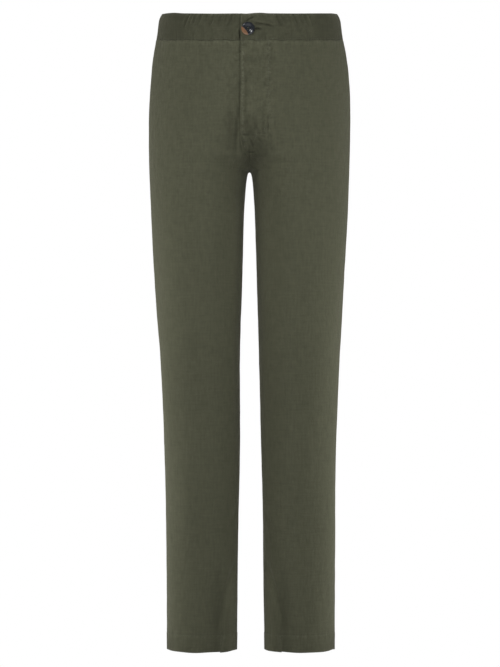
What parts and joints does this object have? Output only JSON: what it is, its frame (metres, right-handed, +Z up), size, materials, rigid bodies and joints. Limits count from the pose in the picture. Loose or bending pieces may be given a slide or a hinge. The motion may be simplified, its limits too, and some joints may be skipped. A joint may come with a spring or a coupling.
{
  "type": "trousers",
  "caption": "Straight-leg linen trousers, hollow and filled out as if worn, with a gathered elastic waistband, a stitched fly and a dark button at the front.",
  "frame": {"origin": "centre of the waist, halfway up the waistband, where the wearer holds the trousers up", "axes": "+Z up the legs to the waist, -Y to the front with the button and fly, +X to the wearer's left"},
  "size_m": [0.338, 0.257, 1.077],
  "materials": {
    "front_left_linen": "matte, plain woven linen with slubs",
    "front_right_linen": "matte, plain woven linen with slubs",
    "back_left_linen": "matte, plain woven linen with slubs",
    "back_right_linen": "matte, plain woven linen with slubs",
    "waistband_left_linen": "matte, plain woven linen with slubs",
    "waistband_right_linen": "matte, plain woven linen with slubs",
    "waistband_back_linen": "matte, plain woven linen with slubs",
    "button_resin": "polished, dark, marbled like horn"
  },
  "bodies": {
    "root": {"front_left": "front_left_linen", "front_right": "front_right_linen", "back_left": "back_left_linen", "back_right": "back_right_linen", "waistband_left": "waistband_left_linen", "waistband_right": "waistband_right_linen", "waistband_back": "waistband_back_linen", "button": "button_resin"}
  },
  "joints": []
}
